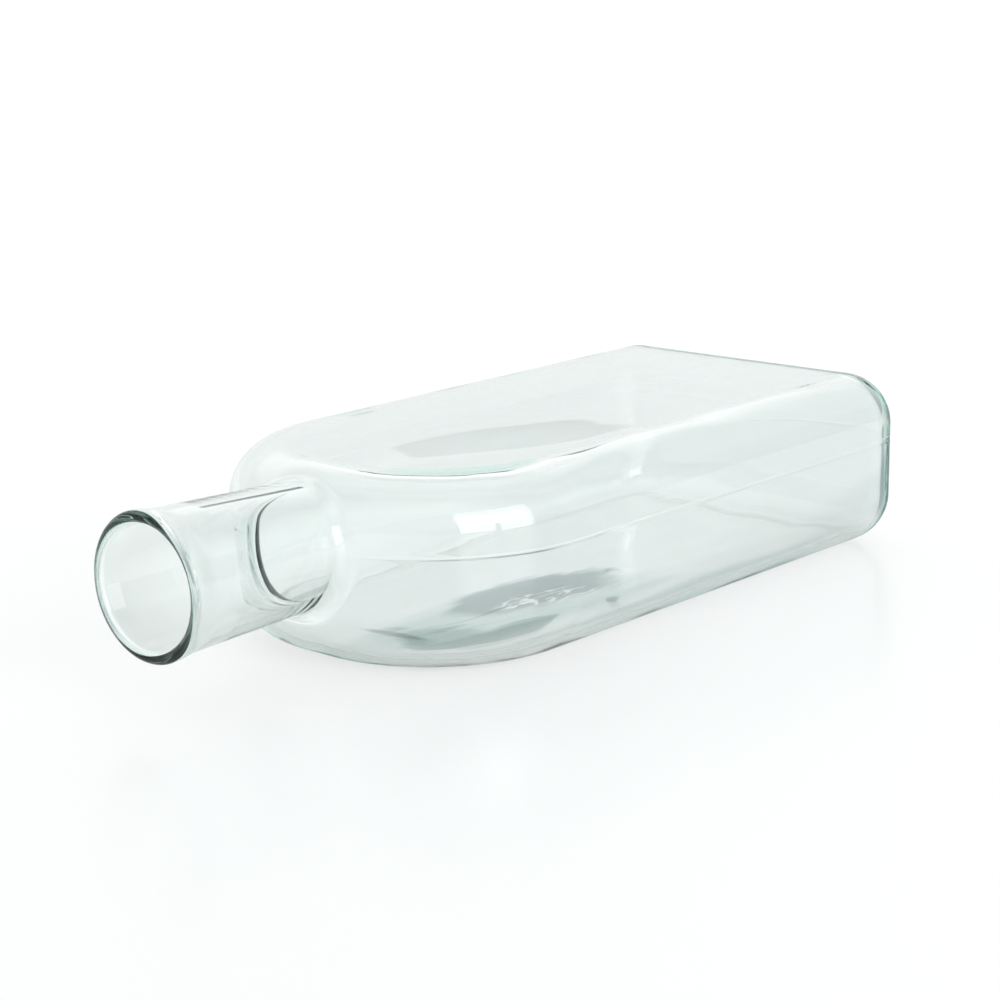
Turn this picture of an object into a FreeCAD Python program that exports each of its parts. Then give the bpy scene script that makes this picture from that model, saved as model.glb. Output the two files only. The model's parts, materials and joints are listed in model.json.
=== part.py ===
"""Flat-sided culture flask of clear borosilicate glass, blown in one piece.

The flask lies on a broad side, ready to grow a layer of cells: +Z is up, the
mouth points to -X and the base end stands at +X. The origin is the middle of
the surface that it rests on. The body is a slab with straight sides, a square
base end and round shoulders. The neck sits off-centre, close under the upper
broad side, so that a shallow layer of medium stays out of it.

One blown wall means one form made twice: `form` builds the flask as a filled
shape, first to the outside of the glass and then inset by the wall, and the
second is cut from the first.
"""
import FreeCAD, Part
import math
import os

from FreeCAD import Vector

# Body, outside, in millimetres
body_length = 226.0        # base end to the front of the shoulders
body_width = 116.0
body_thickness = 56.0
shoulder_flat = 8.0        # straight stretch across the front, between the shoulders
edge_radius = 16.4         # of every edge between two sides of the slab

# Neck and lip, outside
neck_length = 54.0         # front of the shoulders to the lip
neck_rise = 6.8            # neck axis above the middle of the body
neck_mouth_diameter = 40.2
neck_root_diameter = 36.4
lip_diameter = 41.5
lip_length = 9.0           # the stretch over which the lip swells
root_fillet = 6.0          # hollow curve from the neck to the shoulders, inside as outside

# Glass and bore
body_wall = 2.4
base_wall = 3.0
neck_wall = 2.6            # at the root of the neck
bore_diameter = 34.4       # straight stretch that a stopper seats in
bore_depth = 16.0

# Construction allowances
overrun = 1.0              # how far a cut runs past the glass
contact_tolerance = 0.001  # how near an edge lies to a surface that it is on

overall_length = body_length + neck_length
base_x = overall_length / 2
mouth_x = -overall_length / 2
shoulder_x = base_x - body_length
neck_z = body_thickness / 2 + neck_rise
neck_root_inside = neck_root_diameter - 2 * neck_wall
lip_radius = (lip_diameter - bore_diameter) / 4
shoulder_radius = (body_width - shoulder_flat) / 2
root_depth = shoulder_radius / 2   # how far a neck form runs into the body


def line(start, end):
    """Straight edge between two points."""
    return Part.LineSegment(start, end).toShape()


def shoulder_arc(centre, radius, start_angle):
    """Quarter circle in a level plane, anticlockwise from start_angle."""
    points = []
    for share in (0.0, 0.5, 1.0):
        angle = start_angle + share * math.pi / 2
        spoke = Vector(math.cos(angle), math.sin(angle), 0) * radius
        points.append(centre + spoke)
    return Part.Arc(*points).toShape()


def plan_outline(inset, base_inset):
    """Outline of the body seen from above: square at the base end, round at the shoulders."""
    side = body_width / 2 - inset
    front = shoulder_x + inset
    back = base_x - base_inset
    radius = shoulder_radius - inset
    turn_x = front + radius
    turn_y = side - radius

    left = shoulder_arc(Vector(turn_x, turn_y, inset), radius, math.pi / 2)
    right = shoulder_arc(Vector(turn_x, -turn_y, inset), radius, math.pi)
    return Part.Wire([
        line(Vector(back, -side, inset), Vector(back, side, inset)),
        line(Vector(back, side, inset), Vector(turn_x, side, inset)),
        left,
        line(Vector(front, turn_y, inset), Vector(front, -turn_y, inset)),
        right,
        line(Vector(turn_x, -side, inset), Vector(back, -side, inset)),
    ])


def body_form(inset, base_inset):
    """Slab with its broad edges and the two corners of the base end rounded alike."""
    height = body_thickness - 2 * inset
    slab = Part.Face(plan_outline(inset, base_inset)).extrude(Vector(0, 0, height))
    back = base_x - base_inset
    rounded = []
    for edge in slab.Edges:
        is_level = edge.BoundBox.ZLength < contact_tolerance
        is_at_base = edge.BoundBox.XMin > back - contact_tolerance
        if is_level or is_at_base:
            rounded.append(edge)
    return slab.makeFillet(edge_radius - inset, rounded).Solids[0]


def turned(profile):
    """Solid of revolution about the neck axis from (x, radius) edges."""
    axis_start = Vector(mouth_x, 0, neck_z)
    face = Part.Face(Part.Wire(profile))
    return face.revolve(axis_start, Vector(1, 0, 0), 360)


def at(x, radius):
    """Point of a neck profile: x along the neck, radius from its axis."""
    return Vector(x, 0, neck_z + radius)


def neck_outside():
    """Fire-polished lip, a slight flare behind it, then a slow taper."""
    root = shoulder_x + root_depth
    taper = (neck_mouth_diameter - neck_root_diameter) / 2 / neck_length
    lip_back = mouth_x + lip_length
    lip_centre_x = mouth_x + lip_radius
    behind_lip = neck_mouth_diameter / 2 - taper * lip_length
    root_radius = neck_root_diameter / 2 - taper * root_depth
    pull = (lip_back - lip_centre_x) / 3

    bore_edge = at(lip_centre_x, bore_diameter / 2)
    lip_front = at(mouth_x, bore_diameter / 2 + lip_radius)
    lip_top = at(lip_centre_x, lip_diameter / 2)
    taper_start = at(lip_back, behind_lip)
    flare = Part.BezierCurve()
    flare.setPoles([
        lip_top,
        lip_top + Vector(pull, 0, 0),
        taper_start + Vector(-pull, 0, taper * pull),
        taper_start,
    ])
    return turned([
        line(at(lip_centre_x, 0), bore_edge),
        Part.Arc(bore_edge, lip_front, lip_top).toShape(),
        flare.toShape(),
        line(taper_start, at(root, root_radius)),
        line(at(root, root_radius), at(root, 0)),
        line(at(root, 0), at(lip_centre_x, 0)),
    ])


def neck_inside():
    """Straight bore for the stopper, then a taper that follows the outside."""
    root = shoulder_x + root_depth
    bore_end = mouth_x + lip_radius + bore_depth
    taper = (bore_diameter - neck_root_inside) / 2 / (shoulder_x - bore_end)
    root_radius = neck_root_inside / 2 - taper * root_depth
    outline = [
        at(mouth_x - overrun, 0),
        at(mouth_x - overrun, bore_diameter / 2),
        at(bore_end, bore_diameter / 2),
        at(root, root_radius),
        at(root, 0),
    ]
    edges = [line(outline[index - 1], outline[index]) for index in range(len(outline))]
    return turned(edges)


def lies_on(edge, shell):
    """True where points spread along an edge all touch a shell."""
    samples = 5
    span = edge.LastParameter - edge.FirstParameter
    for index in range(samples):
        point = edge.valueAt(edge.FirstParameter + span * (index + 0.5) / samples)
        if Part.Vertex(point).distToShape(shell)[0] > contact_tolerance:
            return False
    return True


def form(body, neck):
    """Body and neck joined, with a hollow curve where they meet."""
    joined = body.fuse(neck).Solids[0]
    body_shell = body.Shells[0]
    neck_shell = neck.Shells[0]
    meeting = [edge for edge in joined.Edges if lies_on(edge, body_shell) and lies_on(edge, neck_shell)]
    return joined.makeFillet(root_fillet, meeting).Solids[0]


def flask():
    """The glass: the outside form less the same form inset by the wall."""
    outside = form(body_form(0.0, 0.0), neck_outside())
    inside = form(body_form(body_wall, base_wall), neck_inside())
    return outside.cut(inside).Solids[0]


os.makedirs("parts", exist_ok=True)
glass = flask()
glass.exportStep("parts/flask.step")
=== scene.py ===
# %% [markdown]
# # A flat-sided culture flask of blown glass
#
# The object is one piece of clear borosilicate glass: a slab-shaped body with round shoulders, a square
# base end and a short neck that sits close under the upper broad side. Clear glass has no colour of its
# own to paint. What the eye reads is its two skins bending and mirroring the room, so this lesson
# spends its effort on the shape of those skins, on a thin green cast inside the glass and on a room
# worth looking at.

# %% Load the fixed frame
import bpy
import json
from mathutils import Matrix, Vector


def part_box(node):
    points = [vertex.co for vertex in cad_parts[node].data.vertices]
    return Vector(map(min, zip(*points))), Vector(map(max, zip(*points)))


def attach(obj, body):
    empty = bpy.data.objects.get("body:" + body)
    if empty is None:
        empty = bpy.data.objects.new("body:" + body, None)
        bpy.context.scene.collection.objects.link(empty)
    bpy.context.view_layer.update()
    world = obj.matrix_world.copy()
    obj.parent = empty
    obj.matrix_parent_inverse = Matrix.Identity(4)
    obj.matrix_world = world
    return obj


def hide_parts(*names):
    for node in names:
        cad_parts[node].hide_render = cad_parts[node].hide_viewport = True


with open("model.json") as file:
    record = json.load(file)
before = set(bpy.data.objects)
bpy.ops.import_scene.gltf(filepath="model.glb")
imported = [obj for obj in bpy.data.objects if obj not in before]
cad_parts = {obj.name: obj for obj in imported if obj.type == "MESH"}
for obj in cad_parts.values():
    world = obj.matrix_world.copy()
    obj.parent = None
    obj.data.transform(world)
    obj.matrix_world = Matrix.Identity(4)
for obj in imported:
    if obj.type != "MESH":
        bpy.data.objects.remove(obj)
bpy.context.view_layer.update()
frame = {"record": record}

# %% [markdown]
# ## Sizes
#
# The frame gives the overall box and the bore of the neck. The rest of the flask's sizes are the
# glassblower's mould, written once here in millimetres and turned to metres, which is Blender's unit.

# %% Read the frame and name the sizes
import json
import math

import bpy
import numpy as np
from mathutils import Matrix, Vector

MM = 0.001

box_low, box_high = (np.array(corner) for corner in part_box("flask"))
overall_length, body_width, body_thickness = box_high - box_low
mounts = {mount["name"]: mount for mount in frame["record"]["mounts"]}
bore_radius = mounts["neck_bore"]["dims"]["r_mm"] * MM
neck_z = mounts["neck_bore"]["pos_m"][2]

mouth_x = box_low[0]
base_x = box_high[0]
middle_z = (box_low[2] + box_high[2]) / 2

neck_length = 54.0 * MM
shoulder_flat = 8.0 * MM
edge_radius = 16.4 * MM
neck_mouth_radius = 20.1 * MM
neck_root_radius = 18.2 * MM
lip_outer_radius = 20.75 * MM
lip_length = 9.0 * MM
bore_depth = 16.0 * MM
root_fillet = 6.0 * MM
body_wall = 2.4 * MM
base_wall = 3.0 * MM
neck_wall = 2.6 * MM

shoulder_x = mouth_x + neck_length
shoulder_radius = (body_width - shoulder_flat) / 2
lip_radius = (lip_outer_radius - bore_radius) / 2
lip_x = mouth_x + lip_radius
neck_end_x = base_x - 100 * MM
print(f"flask {overall_length / MM:.1f} x {body_width / MM:.1f} x {body_thickness / MM:.1f} mm")
print(f"lip wall {2 * lip_radius / MM:.2f} mm, shoulder radius {shoulder_radius / MM:.1f} mm")

# %% [markdown]
# ## The form as distances
#
# The flask could be modelled as a subdivision cage, but then the roundness of each shoulder depends on
# where a few cage points were pushed. Glass shows every error of that kind as a kink in a reflection.
# So each skin is described by distances instead: a rounded slab, a neck of revolution, and a ball of
# the fillet's radius that rolls where the two meet. Every function gives the distance and the direction
# in which it grows. The same functions give the outer skin and, inset by the wall, the inner one.

# %% Distances to the slab and to the neck
def corner(first, second):
    """Distance beyond a square corner, and how much of it lies along each side's direction."""
    beyond_first, beyond_second = np.maximum(first, 0), np.maximum(second, 0)
    length = np.hypot(beyond_first, beyond_second)
    inside = length == 0
    safe = np.where(inside, 1, length)
    distance = np.where(inside, np.maximum(first, second), length)
    share_first = np.where(inside, first > second, beyond_first / safe)
    share_second = np.where(inside, first <= second, beyond_second / safe)
    return distance, share_first, share_second


def slab(points, inset, end_inset):
    """The body: rounded in plan at the shoulders, rounded along every edge, inset by the wall."""
    rounding = edge_radius - inset
    plan_radius = shoulder_radius - edge_radius
    low_x = shoulder_x + edge_radius
    high_x = base_x - end_inset - rounding
    x, y = points[..., 0] - (low_x + high_x) / 2, points[..., 1]
    z = points[..., 2] - middle_z

    radius = np.where(x < 0, plan_radius, 0.0)
    past_x = np.abs(x) - (high_x - low_x) / 2 + radius
    past_y = np.abs(y) - body_width / 2 + edge_radius + radius
    past_z = np.abs(z) - body_thickness / 2 + edge_radius
    plan, share_x, share_y = corner(past_x, past_y)
    distance, share_plan, share_z = corner(plan - radius, past_z)
    parts = [share_plan * share_x * np.sign(x), share_plan * share_y * np.sign(y), share_z * np.sign(z)]
    return distance - rounding, np.stack(parts, axis=-1)


def neck_outline(x):
    """Radius of the neck's outside: a slow taper that swells to the lip."""
    taper = (neck_mouth_radius - neck_root_radius) / neck_length
    reach = lip_length - lip_radius
    share = np.clip((x - lip_x) / reach, 0, 1)
    swell = lip_outer_radius - (neck_mouth_radius - taper * lip_radius)
    settle = (1 - share) ** 2 * (1 + 2 * share) * swell + share * (1 - share) ** 2 * taper * reach
    return neck_mouth_radius - taper * (x - mouth_x) + settle


def bore_outline(x):
    """Radius of the neck's inside: a straight bore for the stopper, then a taper."""
    bore_end = lip_x + bore_depth
    taper = (bore_radius - neck_root_radius + neck_wall) / (shoulder_x - bore_end)
    return bore_radius - taper * np.maximum(x - bore_end, 0)


def neck(points, outline, step=0.05 * MM):
    """The neck as a body of revolution that ends well inside the body."""
    x, y, z = points[..., 0], points[..., 1], points[..., 2] - neck_z
    radius = np.maximum(np.hypot(y, z), 1e-9)
    slope = (outline(x + step) - outline(x - step)) / (2 * step)
    size = np.hypot(1, slope)
    distance = (radius - outline(x)) / size
    normal = np.stack([-slope, y / radius, z / radius], axis=-1) / size[..., None]
    to_end = x - neck_end_x
    capped = to_end > distance
    return np.where(capped, to_end, distance), np.where(capped[..., None], [1.0, 0.0, 0.0], normal)


# %% [markdown]
# Where the neck runs into the shoulders the glassblower's jack leaves a hollow curve. A plain blend of
# two distances would bulge where the neck lies almost along the broad side, so the ball is placed
# exactly: its centre is one radius from both surfaces, whatever angle they make.

# %% Join slab and neck with a rolling ball
def joined(points, body, pipe, ball):
    """Distance to slab and neck with the ball's hollow between them, and its direction."""
    (to_body, body_normal), (to_pipe, pipe_normal) = body(points), pipe(points)
    lean = np.sum(body_normal * pipe_normal, axis=-1)
    room = np.maximum(1 - lean * lean, 1e-9)
    from_body = ((ball - to_body) - lean * (ball - to_pipe)) / room
    from_pipe = ((ball - to_pipe) - lean * (ball - to_body)) / room
    hollow = (from_body > 0) & (from_pipe > 0)
    towards = from_body[..., None] * body_normal + from_pipe[..., None] * pipe_normal
    reach = np.maximum(np.linalg.norm(towards, axis=-1), 1e-9)
    nearer = np.where((to_body < to_pipe)[..., None], body_normal, pipe_normal)
    distance = np.where(hollow, ball - reach, np.minimum(to_body, to_pipe))
    return distance, np.where(hollow[..., None], towards / reach[..., None], nearer)


def outer_skin(points):
    return joined(points, lambda p: slab(p, 0, 0), lambda p: neck(p, neck_outline), root_fillet)


def inner_skin(points):
    return joined(
        points, lambda p: slab(p, body_wall, base_wall), lambda p: neck(p, bore_outline), root_fillet)


# %% [markdown]
# ## Meridians
#
# A half-plane that hangs on the neck's axis cuts each skin in one curve, from the lip along the neck,
# over the shoulder, down the side and across the base end to the axis. Such a curve is found by
# walking: a step along the skin, then a small correction back onto it. Many half-planes side by side
# give a tidy grid of quads that flows the way blown glass does, from the mouth to the far end.

# %% Walk the meridians of a skin
def in_space(x, radius, angles):
    """Points of half-planes through the neck's axis."""
    return np.stack([x, radius * np.cos(angles), neck_z + radius * np.sin(angles)], axis=-1)


def in_plane(skin, x, radius, angles):
    """A skin's distance and its slopes along and away from the neck's axis."""
    distance, normal = skin(in_space(x, radius, angles))
    return distance, normal[..., 0], normal[..., 1] * np.cos(angles) + normal[..., 2] * np.sin(angles)


def settle(skin, x, radius, angles, times):
    """Moves points of half-planes back onto a skin."""
    for _ in range(times):
        distance, along, away = in_plane(skin, x, radius, angles)
        steepness = np.maximum(along**2 + away**2, 0.25)
        x, radius = x - distance * along / steepness, radius - distance * away / steepness
    return x, radius


def walk(skin, start_x, start_radius, angles, stride=0.5 * MM):
    """Curves on a skin, one per angle, from the lip to the axis at the base end."""
    x, radius = np.full_like(angles, start_x), np.full_like(angles, start_radius)
    path = [(x, radius)]
    while np.any(radius > 0):
        _, along, away = in_plane(skin, x, radius, angles)
        size = np.hypot(along, away)
        x, radius = settle(skin, x + stride * away / size, radius - stride * along / size, angles, 2)
        path.append((x, radius))
    return np.array(path).transpose(1, 2, 0)


def smoothed(values, reach):
    """A running mean over 2 * reach + 1 values."""
    window = np.ones(2 * reach + 1) / (2 * reach + 1)
    return np.convolve(np.pad(values, reach, mode="edge"), window, mode="valid")


def spread(skin, curves, angles, count, widest=2.0 * MM, turn=math.radians(5)):
    """The same curves with count points each, closer together where they bend."""
    stations = []
    for x, radius in zip(*curves):
        last = int(np.argmax(radius <= 0))
        x, radius = x[:last + 1], radius[:last + 1]
        length = np.hypot(np.diff(x), np.diff(radius))
        heading = np.unwrap(np.arctan2(np.diff(radius), np.diff(x)))
        bend = smoothed(np.abs(np.gradient(heading)) / length, 4)
        crowding = smoothed(np.maximum(1 / widest, bend / turn), 12)
        travelled = np.append(0.0, np.cumsum(crowding * length))
        share = radius[-2] / (radius[-2] - radius[-1])
        end = travelled[-2] + share * (travelled[-1] - travelled[-2])
        wanted = np.linspace(0, end, count)
        stations.append((np.interp(wanted, travelled, x), np.interp(wanted, travelled, radius)))
    x, radius = np.array(stations).transpose(1, 2, 0)
    return settle(skin, x, radius, angles, 2)


def half_plane_angles(count, widest=2.0 * MM, turn=math.radians(7), samples=7201, halvings=30):
    """Angles about the neck's axis that meet the body's section at even steps."""
    fine = np.linspace(-math.pi, math.pi, samples)
    low, high = np.zeros_like(fine), np.full_like(fine, body_width)
    for _ in range(halvings):
        middle = (low + high) / 2
        inside = slab(in_space(np.zeros_like(fine), middle, fine), 0, 0)[0] < 0
        low, high = np.where(inside, middle, low), np.where(inside, high, middle)
    section = in_space(np.zeros_like(fine), low, fine)
    length = np.linalg.norm(np.diff(section, axis=0), axis=1)
    heading = np.unwrap(np.arctan2(np.diff(section[:, 2]), np.diff(section[:, 1])))
    crowding = length / widest + np.abs(np.gradient(heading)) / turn
    travelled = np.append(0.0, np.cumsum(crowding))
    return np.interp(np.linspace(0, travelled[-1], count + 1)[:-1], travelled, fine)


# %% [markdown]
# The two halves of the iron mould meet in the plane of the neck's axis, because the neck only comes
# free there. The glass keeps a hairline along that seam. Meridians run exactly along it, so a few of
# them are drawn close together on either side and the rest keep their even steps.

# %% Choose the meridians and walk them
seam_width = 0.8 * MM
seam_depth = 0.15 * MM
seam_fade = 20 * MM
around = 190
outer_stations = 190
inner_stations = 320
lip_stations = 11

beside_seam = seam_width * np.array([-1, -0.5, 0, 0.5, 1]) / (body_width / 2)
near_side = (beside_seam + 2 * math.pi) % (2 * math.pi) - math.pi
plain = half_plane_angles(around - 2 * len(beside_seam))
clear_of_seam = np.minimum(np.abs(plain), math.pi - np.abs(plain)) > 2 * beside_seam[-1]
angles = np.sort(np.concatenate([plain[clear_of_seam], beside_seam, near_side]))
around = len(angles)

outer_curves = walk(outer_skin, lip_x, lip_outer_radius, angles)
inner_curves = walk(inner_skin, lip_x, bore_radius, angles)
outer_x, outer_r = spread(outer_skin, outer_curves, angles, outer_stations)
inner_x, inner_r = spread(inner_skin, inner_curves, angles, inner_stations)
print(f"meridians: {around}, stations outside {outer_stations}, inside {inner_stations}")

# %% [markdown]
# ## An uneven wall
#
# The outside of a blown flask copies its iron mould, but nothing touches the inside. There the glass
# sags a little before it sets: it stays thicker over one part of the upper side and ends there in a
# soft ledge, swells slightly on the floor, and runs in cords along the edges, where it stretched most.
# A plane mirror would show an even room. Slopes of about one degree are what make the
# reflections of real glass wander.
#
# The shape could come from a noise texture in the material. It is moved into the mesh instead, because
# a wall that is truly thicker also traps more light and looks greener there.

# %% Let the wall vary inside
ledge_centre = (-23 * MM, -15 * MM)
ledge_turn = math.radians(-12)
ledge_half_width = 14 * MM
ledge_length = 34 * MM
ledge_height = 0.66 * MM
ledge_softness = 0.12

swell_centre = (-9 * MM, 8 * MM)
swell_size = (45 * MM, 18 * MM)
swell_height = 0.2 * MM

cord_place = 50 * MM
cord_width = 9 * MM
cord_height = 0.025 * MM

top_wave_height = 0.004 * MM
bottom_wave_height = 0.006 * MM
flank_wave_height = 0.02 * MM


def ripples(x, y, count, length_x, length_y, height, seed):
    """A sum of waves that are long in x and short in y."""
    rng = np.random.default_rng(seed)
    total = np.zeros_like(x)
    for _ in range(count):
        wave_x = rng.uniform(*length_x) * rng.choice([-1, 1])
        wave_y = rng.uniform(*length_y)
        phase = rng.uniform(0, 2 * math.pi)
        share = wave_y / np.mean(length_y)
        total += height * share * np.sin(2 * math.pi * (x / wave_x + y / wave_y) + phase)
    return total


def ledge(x, y):
    """Thicker on the near side of a line, with one even slope across it, and fading along it."""
    x, y = x - ledge_centre[0], y - ledge_centre[1]
    along = x * math.cos(ledge_turn) + y * math.sin(ledge_turn)
    across = (y * math.cos(ledge_turn) - x * math.sin(ledge_turn)) / ledge_half_width
    near, far = (1 - across) / ledge_softness, (-1 - across) / ledge_softness
    slope = ledge_softness / 2 * (np.logaddexp(0, near) - np.logaddexp(0, far))
    return ledge_height * slope * np.exp(-(along / ledge_length) ** 2 / 2)


def swell(x, y):
    """A low hill on the floor of the flask."""
    along, across = (x - swell_centre[0]) / swell_size[0], (y - swell_centre[1]) / swell_size[1]
    return swell_height * np.exp(-(along**2 + across**2) / 2)


def wall_variation(points, normals):
    """Extra wall thickness of the inner skin, in metres."""
    x, y, z = points[..., 0], points[..., 1], points[..., 2]
    upper = np.clip(normals[..., 2], 0, 1) ** 2
    lower = np.clip(-normals[..., 2], 0, 1) ** 2
    sides = normals[..., 1] ** 2
    edge = np.exp(-((np.abs(y) - cord_place) / cord_width) ** 2)
    cords = edge * ripples(x, y, 7, (30 * MM, 90 * MM), (7 * MM, 13 * MM), cord_height, 11)
    top_waves = ripples(x, y, 5, (90 * MM, 260 * MM), (10 * MM, 26 * MM), top_wave_height, 3)
    bottom_waves = ripples(x, y, 5, (60 * MM, 200 * MM), (10 * MM, 26 * MM), bottom_wave_height, 8)
    flank_waves = ripples(x, z, 4, (60 * MM, 200 * MM), (12 * MM, 30 * MM), flank_wave_height, 5)
    on_top = ledge(x, y) + top_waves + cords
    on_bottom = swell(x, y) + bottom_waves + cords
    return upper * on_top + lower * on_bottom + sides * flank_waves


inner_points = in_space(inner_x, inner_r, angles[None, :])
_, inner_normals = inner_skin(inner_points)
extra = wall_variation(inner_points, inner_normals)
inner_points = inner_points - inner_normals * extra[..., None]
print(f"wall {body_wall / MM:.1f} mm, varied by {extra.min() / MM:.2f} to {extra.max() / MM:.2f} mm")

# %% [markdown]
# On the flask the seam stands proud by a hair. Here it is pressed in by as much, which keeps the glass
# inside the flask's box in the frame, and a line this thin bends the light behind it the same way. The
# neck's own seam was smoothed away when its mouth was worked in the flame.

# %% Press the seam into the outside
outer_points = in_space(outer_x, outer_r, angles[None, :])
_, outer_normals = outer_skin(outer_points)
on_seam = np.clip(1 - np.abs(outer_points[..., 2] - neck_z) / (seam_width / 2), 0, 1)
on_body = np.clip((outer_x - shoulder_x) / seam_fade, 0, 1)
outer_points = outer_points - outer_normals * (seam_depth * on_seam * on_body)[..., None]
print(f"seam {seam_width / MM:.1f} mm wide at a height of {neck_z / MM:.1f} mm")

# %% [markdown]
# ## One closed wall
#
# The two skins meet over the fire-polished lip, which surface tension pulled into a half round. Joined
# there, they make one closed mesh with glass between them and air on both sides, which is what a
# renderer needs to bend light the way the real wall does.

# %% Join the skins into the glass
def lip_ring(share):
    """A ring on the half round, from the bore's edge (0) to the outside (1)."""
    turn = math.pi * share
    x = lip_x - lip_radius * math.sin(turn)
    radius = bore_radius + lip_radius - lip_radius * math.cos(turn)
    return in_space(np.full(around, x), np.full(around, radius), angles)


def closed_mesh(name, first_pole, rings, last_pole):
    """Quads between rings and a fan of triangles at each pole."""
    points = np.concatenate([[first_pole], *rings, [last_pole]])
    starts = 1 + around * np.arange(len(rings))
    faces = []
    for j in range(around):
        k = (j + 1) % around
        faces.append((0, 1 + k, 1 + j))
        for a, b in zip(starts[:-1], starts[1:]):
            faces.append((a + j, a + k, b + k, b + j))
        faces.append((starts[-1] + j, starts[-1] + k, len(points) - 1))
    mesh = bpy.data.meshes.new(name)
    mesh.from_pydata(points.tolist(), [], [tuple(map(int, face)) for face in faces])
    mesh.shade_smooth()
    mesh.update()
    return mesh


lip_rings = [lip_ring(share) for share in np.linspace(0, 1, lip_stations)[1:-1]]
rings = [*inner_points[-2::-1], *lip_rings, *outer_points[:-1]]
glass_mesh = closed_mesh("flask_glass", inner_points[-1, 0], rings, outer_points[-1, 0])
flask_glass = bpy.data.objects.new("flask_glass", glass_mesh)
bpy.context.scene.collection.objects.link(flask_glass)
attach(flask_glass, "root")
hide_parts("flask")
print(f"{len(glass_mesh.vertices)} points, {len(glass_mesh.polygons)} faces")


# %% [markdown]
# ## Two helpers for materials
#
# Colours are written as the sRGB hex values a paint chart would give and are turned to linear light
# once, here. Every node of every material is added by the one function below.

# %% Colours and nodes
def linear(hex_colour):
    """An sRGB hex colour as linear red, green, blue and a full alpha."""
    values = []
    for i in (1, 3, 5):
        c = int(hex_colour[i:i + 2], 16) / 255
        values.append(c / 12.92 if c <= 0.04045 else ((c + 0.055) / 1.055) ** 2.4)
    return (*values, 1.0)


def add_node(tree, kind, settings=None, links=None, stops=None):
    """Adds a node with its settings, incoming links and, on a ramp, its stops as (place, colour)."""
    node = tree.nodes.new(kind)
    for key, value in (settings or {}).items():
        if isinstance(key, str) and hasattr(node, key):
            setattr(node, key, value)
        else:
            node.inputs[key].default_value = value
    for key, source in (links or {}).items():
        tree.links.new(source, node.inputs[key])
    if stops:
        ramp = node.color_ramp.elements
        ramp.remove(ramp[1])
        for index, (place, colour) in enumerate(stops):
            stop = ramp[0] if index == 0 else ramp.new(place)
            stop.position = place
            stop.color = colour
    return node


def new_material(name):
    """A material with an empty node tree."""
    material = bpy.data.materials.new(name)
    material.use_nodes = True
    material.node_tree.nodes.clear()
    return material, material.node_tree


# The colour form of the Mix node takes its colours at these sockets and gives its result at this one.
COLOUR_A = 6
COLOUR_B = 7
COLOUR_OUT = 2

# %% [markdown]
# ## Borosilicate glass
#
# Laboratory flasks are blown from borosilicate glass. The outside froze against a wetted iron mould and
# the lip was melted smooth in a flame, so every surface is as slick as a liquid: roughness 0, index of
# refraction 1.473. It passes nearly all light. A trace of iron takes a little of the red, so glass seen
# through a wall stays clear, and glass seen along a wall, as in the lip and the rounded edges, turns
# grey-green. That is absorption inside the glass and not a tint on its surface.

# %% Melt the glass
glass_index = 1.473
glass_cast = "#A8E8D8"
cast_per_metre = 11.0

glass, tree = new_material("borosilicate_glass")
surface = add_node(tree, "ShaderNodeBsdfPrincipled", {
    "Base Color": (1, 1, 1, 1), "Roughness": 0.0, "IOR": glass_index, "Transmission Weight": 1.0})
cast = add_node(
    tree, "ShaderNodeVolumeAbsorption", {"Color": linear(glass_cast), "Density": cast_per_metre})
add_node(tree, "ShaderNodeOutputMaterial", links={
    "Surface": surface.outputs["BSDF"], "Volume": cast.outputs["Volume"]})
glass_mesh.materials.append(glass)
red_left, green_left, _, _ = (math.exp(-(1 - c) * cast_per_metre * 0.1) for c in linear(glass_cast))
print(f"after 100 mm of glass {red_left:.0%} of the red and {green_left:.0%} of the green are left")

# %% [markdown]
# ## The white table
#
# The flask lies on white card with a slight sheen, which mirrors the underside faintly. To the lens the
# card is brighter than it is to the glass, so that the page stays white and the flask still has tones.
#
# A flask full of air is a poor lens, but it is a lens: it gathers light behind itself and leaves
# patches of the table beneath it dim. Caustics like that are slow and noisy to trace, so a pattern in
# their manner is drawn on the card, where the camera sees it only by way of the glass: one wide bright
# pool, one grey wash under the near half, one dark patch with crinkled bright threads in it, a dark
# sliver under the near shoulder, streaks along the near edge and a shade beyond the base end, which
# darkens the base's rounded edge. The pattern is placed for this camera and not worked out from the
# lamps, so from another side it shows up elsewhere in the glass.

# %% Draw the pattern of gathered light
table_half = 6.0
table_drop = 0.2 * MM
card_white = (0.42, 0.43, 0.428, 1)
card_to_lens = (0.565, 0.56, 0.56, 1)
gathered_light = (0.53, 0.565, 0.553, 1)
plain_light = (0.385, 0.41, 0.40, 1)
grey_wash = (0.6, 0.72, 0.71, 1)
dark_patch = (0.0, 0.12, 0.125, 1)
dark_sliver = (0.1, 0.2, 0.2, 1)
edge_shade = (0.5, 0.64, 0.63, 1)
ragged_edge = 0.7
thread_size = (16, 2.6)
thread_middle, thread_half_width = 0.5, 0.03

card, tree = new_material("white_card")
where = add_node(tree, "ShaderNodeTexCoord")
path = add_node(tree, "ShaderNodeLightPath")


def streaks(size):
    """Noise drawn out to streaks of this size in millimetres, along and across the flask."""
    drawn = add_node(
        tree, "ShaderNodeMapping",
        {"vector_type": "TEXTURE", "Scale": (size[0] * MM, size[1] * MM, MM)},
        {"Vector": where.outputs["Object"]})
    return add_node(
        tree, "ShaderNodeTexNoise", {"Scale": 1.0, "Detail": 3.0}, {"Vector": drawn.outputs["Vector"]})


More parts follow.
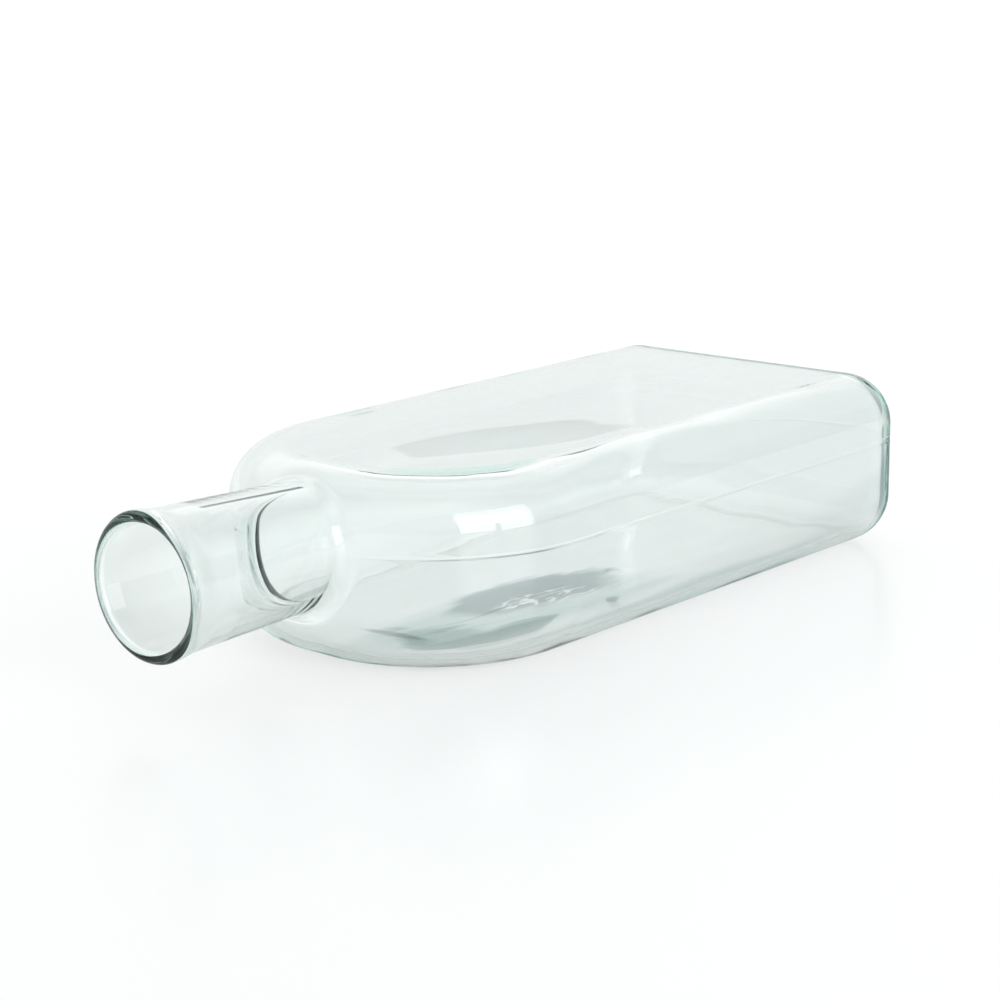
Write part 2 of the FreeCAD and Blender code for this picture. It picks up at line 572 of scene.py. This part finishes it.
def patch(centre, size, turn, streak, inner, outer):
    """1 inside an ellipse and 0 outside, its edge ragged with streaks; in millimetres and degrees."""
    placed = add_node(
        tree, "ShaderNodeMapping",
        {"vector_type": "TEXTURE", "Location": (centre[0] * MM, centre[1] * MM, 0.0),
         "Rotation": (0.0, 0.0, math.radians(turn)), "Scale": (size[0] * MM, size[1] * MM, MM)},
        {"Vector": where.outputs["Object"]})
    flat = add_node(
        tree, "ShaderNodeVectorMath", {"operation": "MULTIPLY", 1: (1.0, 1.0, 0.0)},
        {0: placed.outputs["Vector"]})
    away = add_node(tree, "ShaderNodeVectorMath", {"operation": "LENGTH"}, {0: flat.outputs["Vector"]})
    ragged = add_node(
        tree, "ShaderNodeMath", {"operation": "MULTIPLY_ADD", 1: ragged_edge},
        {0: streaks(streak).outputs["Fac"], 2: away.outputs["Value"]})
    return add_node(
        tree, "ShaderNodeMapRange",
        {"From Min": inner + ragged_edge / 2, "From Max": outer + ragged_edge / 2,
         "To Min": 1.0, "To Max": 0.0},
        {"Value": ragged.outputs["Value"]})


pool = patch((40, 50), (110, 85), 0, (400, 400), 0.8, 1.3)
wash = patch((-12, -16), (62, 20), -8, (60, 6), 0.7, 1.1)
dark = patch((8, -6), (34, 14), -5, (24, 5), 0.8, 1.05)
crinkled = patch((8, -14), (22, 8), -12, (20, 5), 0.7, 1.0)
sliver = patch((-52, -6), (12, 2.2), -80, (10, 8), 0.6, 1.1)
edge_lines = patch((55, -44), (85, 6), 0, (40, 2.5), 0.5, 1.1)
beyond_base = patch((230, -80), (110, 40), 0, (400, 400), 0.8, 1.05)

# Threads run where the noise passes its middle value.
passing = add_node(
    tree, "ShaderNodeMath", {"operation": "COMPARE", 1: thread_middle, 2: thread_half_width},
    {0: streaks(thread_size).outputs["Fac"]})
threads = add_node(
    tree, "ShaderNodeMath", {"operation": "MULTIPLY"},
    {0: passing.outputs["Value"], 1: crinkled.outputs["Result"]})

lit = add_node(
    tree, "ShaderNodeMix", {"data_type": "RGBA", COLOUR_A: plain_light, COLOUR_B: gathered_light},
    {"Factor": pool.outputs["Result"]})
washed = add_node(
    tree, "ShaderNodeMix", {"data_type": "RGBA", "blend_type": "MULTIPLY", COLOUR_B: grey_wash},
    {"Factor": wash.outputs["Result"], COLOUR_A: lit.outputs[COLOUR_OUT]})
darkened = add_node(
    tree, "ShaderNodeMix", {"data_type": "RGBA", "blend_type": "MULTIPLY", COLOUR_B: dark_patch},
    {"Factor": dark.outputs["Result"], COLOUR_A: washed.outputs[COLOUR_OUT]})
threaded = add_node(
    tree, "ShaderNodeMix", {"data_type": "RGBA"},
    {"Factor": threads.outputs["Value"], COLOUR_A: darkened.outputs[COLOUR_OUT],
     COLOUR_B: lit.outputs[COLOUR_OUT]})
through_glass = threaded.outputs[COLOUR_OUT]
for shade, colour in ((sliver, dark_sliver), (edge_lines, edge_shade), (beyond_base, dark_patch)):
    shaded = add_node(
        tree, "ShaderNodeMix", {"data_type": "RGBA", "blend_type": "MULTIPLY", COLOUR_B: colour},
        {"Factor": shade.outputs["Result"], COLOUR_A: through_glass})
    through_glass = shaded.outputs[COLOUR_OUT]
print(f"pattern of light on the card: {len(tree.nodes)} nodes")

# %% Lay the card on the table
sheen = add_node(
    tree, "ShaderNodeBsdfPrincipled", {"Base Color": card_white, "Roughness": 0.25, "IOR": 1.5})
to_glass = add_node(tree, "ShaderNodeEmission", {"Strength": 1.0}, {"Color": through_glass})
to_lens = add_node(tree, "ShaderNodeEmission", {"Color": card_to_lens, "Strength": 1.0})
glow = add_node(
    tree, "ShaderNodeMixShader", {},
    {0: path.outputs["Is Camera Ray"], 1: to_glass.outputs["Emission"], 2: to_lens.outputs["Emission"]})
both = add_node(tree, "ShaderNodeAddShader", {}, {0: sheen.outputs["BSDF"], 1: glow.outputs["Shader"]})
add_node(tree, "ShaderNodeOutputMaterial", {}, {"Surface": both.outputs["Shader"]})

corners = [(-table_half, -table_half, 0), (table_half, -table_half, 0), (table_half, table_half, 0),
           (-table_half, table_half, 0)]
floor_mesh = bpy.data.meshes.new("floor")
floor_mesh.from_pydata(corners, [], [(0, 1, 2, 3)])
floor_mesh.materials.append(card)
# Rays reach the card by themselves, mirrored or bent, so none are spent on looking for it as a lamp.
card.cycles.emission_sampling = "NONE"
floor = bpy.data.objects.new("floor", floor_mesh)
floor.location.z = -table_drop
bpy.context.scene.collection.objects.link(floor)
print(f"table {2 * table_half:.0f} m across, {table_drop / MM:.1f} mm below the flask")

# %% [markdown]
# ## The room
#
# Glass shows what stands around it, so the room is as much part of its look as the glass is. The rule
# for lighting clear glass is a bright field behind and dark beside: the bright field shines through the
# walls, and each rounded edge gathers the dark of the room into a line. So the side behind the flask is
# bright up to overhead, the side behind the camera is dim, and the right flank is half as bright as the
# left.
#
# A small dark panel hangs in the bright field, and only rays that were bent last, not mirrored, meet
# it. From this camera the ledge is the one part of the broad walls that points there, so the panel
# shades that patch. It also draws a thin line along the top of the neck. Like the pattern on the card
# it is placed for this view. The lens itself sees plain white.

# %% Build the room's light
to_back = (0.7531, 0.6579, 0.0)
to_right = (0.6579, -0.7531, 0.0)
back_levels = [(0, 0.90), (17, 0.90), (24, 1.15), (34, 1.15), (42, 0.75), (64, 0.8)]
front_levels = [(0, 0.25), (40, 0.2), (58, 0.5), (64, 1.0)]
panel_edges = [(0, 0), (18.0, 0), (18.3, 1), (23.0, 1), (23.3, 0)]
panel_colour = (0.0, 0.08, 0.07, 1)
right_flank_level = 0.5

# How far a direction points back or right, where one part of the room gives way to the next.
behind_edge = (-0.05, 0.05)
flank_edge = (0.2, 0.7)
panel_side = (0.045, 0.055)


def grey(level):
    """A grey of the room: the dimmer it is, the less red it holds."""
    dim = min(level, 1.0)
    return (level * dim**0.22, level, level * dim**0.01, 1.0)


def by_height(levels, colour):
    """Ramp stops for levels given by elevation in degrees; a ramp over z needs the sine."""
    return [(math.sin(math.radians(degrees)), colour(level)) for degrees, level in levels]


world = bpy.data.worlds.new("studio")
world.use_nodes = True
bpy.context.scene.world = world
tree = world.node_tree
tree.nodes.clear()
path = add_node(tree, "ShaderNodeLightPath")
direction = add_node(tree, "ShaderNodeTexCoord")
split = add_node(tree, "ShaderNodeSeparateXYZ", {}, {"Vector": direction.outputs["Generated"]})
height = split.outputs["Z"]
backward = add_node(
    tree, "ShaderNodeVectorMath", {"operation": "DOT_PRODUCT", 1: to_back},
    {0: direction.outputs["Generated"]})
rightward = add_node(
    tree, "ShaderNodeVectorMath", {"operation": "DOT_PRODUCT", 1: to_right},
    {0: direction.outputs["Generated"]})

back = add_node(tree, "ShaderNodeValToRGB", {}, {"Fac": height}, by_height(back_levels, grey))
front = add_node(tree, "ShaderNodeValToRGB", {}, {"Fac": height}, by_height(front_levels, grey))
behind = add_node(
    tree, "ShaderNodeMapRange", {"From Min": behind_edge[0], "From Max": behind_edge[1]},
    {"Value": backward.outputs["Value"]})
round_about = add_node(
    tree, "ShaderNodeMix", {"data_type": "RGBA"},
    {"Factor": behind.outputs["Result"], COLOUR_A: front.outputs["Color"],
     COLOUR_B: back.outputs["Color"]})

flank = add_node(
    tree, "ShaderNodeMapRange", {"From Min": flank_edge[0], "From Max": flank_edge[1]},
    {"Value": rightward.outputs["Value"]})
flanked = add_node(
    tree, "ShaderNodeMix",
    {"data_type": "RGBA", "blend_type": "MULTIPLY", COLOUR_B: grey(right_flank_level)},
    {"Factor": flank.outputs["Result"], COLOUR_A: round_about.outputs[COLOUR_OUT]})
print(f"room behind the flask from {back_levels[0][1]} at the table to {back_levels[-1][1]} overhead")

# %% Hang the dark panel and the white page
panel_stops = by_height(panel_edges, lambda level: (level, level, level, 1))
panel_height = add_node(tree, "ShaderNodeValToRGB", {}, {"Fac": height}, panel_stops)
aside = add_node(tree, "ShaderNodeMath", {"operation": "ABSOLUTE"}, {0: rightward.outputs["Value"]})
panel_width = add_node(
    tree, "ShaderNodeMapRange",
    {"From Min": panel_side[0], "From Max": panel_side[1], "To Min": 1.0, "To Max": 0.0},
    {"Value": aside.outputs["Value"]})
panel = path.outputs["Is Transmission Ray"]
for part in (panel_height.outputs["Color"], panel_width.outputs["Result"], behind.outputs["Result"]):
    product = add_node(tree, "ShaderNodeMath", {"operation": "MULTIPLY"}, {0: panel, 1: part})
    panel = product.outputs["Value"]
room_colour = add_node(
    tree, "ShaderNodeMix", {"data_type": "RGBA", COLOUR_B: panel_colour},
    {"Factor": panel, COLOUR_A: flanked.outputs[COLOUR_OUT]})

room = add_node(
    tree, "ShaderNodeBackground", {"Strength": 1.0}, {"Color": room_colour.outputs[COLOUR_OUT]})
page = add_node(tree, "ShaderNodeBackground", {"Color": (1, 1, 1, 1), "Strength": 1.0})
seen = add_node(
    tree, "ShaderNodeMixShader", {},
    {0: path.outputs["Is Camera Ray"], 1: room.outputs["Background"], 2: page.outputs["Background"]})
add_node(tree, "ShaderNodeOutputWorld", {}, {"Surface": seen.outputs["Shader"]})
print(f"dark panel from {panel_edges[1][0]} to {panel_edges[-1][0]} degrees up")

# %% [markdown]
# ## Lamps
#
# Two tall soft boxes stand side by side behind the camera and to its right. Their mirror images are the
# two bright panes on the flask's near side. A small, brighter lamp stands between them.

# %% Set up the lamps
def lamp(name, azimuth, elevation, distance, width, height, radiance):
    """A rectangular lamp that faces the flask, placed by angles in degrees and a distance in metres."""
    data = bpy.data.lights.new(name, "AREA")
    data.shape = "RECTANGLE"
    data.size, data.size_y = width, height
    data.energy = radiance * math.pi * width * height
    stand = bpy.data.objects.new(name, data)
    a, e = math.radians(azimuth), math.radians(elevation)
    towards = Vector((math.cos(a) * math.cos(e), math.sin(a) * math.cos(e), math.sin(e)))
    stand.location = Vector((0, 0, middle_z)) + distance * towards
    stand.rotation_euler = towards.to_track_quat("Z", "Y").to_euler()
    bpy.context.scene.collection.objects.link(stand)
    return stand


lamps = [
    lamp("softbox_left", -113, 20, 1.6, 0.62, 1.1, 3.0),
    lamp("softbox_right", -88, 20, 1.6, 0.62, 1.1, 3.0),
    lamp("small_lamp", -101, 22, 1.5, 0.16, 0.2, 12.0),
]
print(f"{len(lamps)} lamps, {sum(stand.data.energy for stand in lamps):.0f} W in all")

# %% [markdown]
# ## Camera
#
# The camera stands at table distance, in front of the mouth and to the near side, and looks down a
# little. That view shows the bore, the near narrow side in full and the upper side strongly
# foreshortened.

# %% Place the camera
view_azimuth = math.radians(-48.861)
view_elevation = math.radians(13.916)
view_roll = math.radians(-0.752)
view_distance = 732.5 * MM
aim_right, aim_up = 0.835 * MM, 3.125 * MM
lens_mm, sensor_mm = 87.14, 36.0

outward = Vector((math.sin(view_azimuth), -math.cos(view_azimuth), 0.0)) * math.cos(view_elevation)
outward.z = math.sin(view_elevation)
level = Vector((math.cos(view_azimuth), math.sin(view_azimuth), 0.0))
upright = outward.cross(level)
right = math.cos(view_roll) * level + math.sin(view_roll) * upright
up = -math.sin(view_roll) * level + math.cos(view_roll) * upright
centre = Vector(((mouth_x + base_x) / 2, 0.0, middle_z))
eye = centre + aim_right * right + aim_up * up + view_distance * outward

camera_data = bpy.data.cameras.new("camera")
camera_data.lens = lens_mm
camera_data.sensor_width = sensor_mm
camera = bpy.data.objects.new("camera", camera_data)
camera.matrix_world = Matrix.Translation(eye) @ Matrix((right, up, outward)).transposed().to_4x4()
bpy.context.scene.collection.objects.link(camera)
bpy.context.scene.camera = camera
print(f"camera {view_distance / MM:.0f} mm from the flask's middle, {eye.z / MM:.0f} mm up")

# %% [markdown]
# Light that enters the wall of a flask may run along inside it for dozens of mirrorings before it gets
# out. With the usual few bounces those paths end black, and the edges of the glass fill with false dark
# lines. So the number of bounces is raised far above the usual few.

# %% Let light run far inside the glass
scene = bpy.context.scene
scene.view_settings.view_transform = "Standard"
scene.cycles.max_bounces = 48
scene.cycles.glossy_bounces = 40
scene.cycles.transmission_bounces = 40
print("bounces:", scene.cycles.max_bounces)
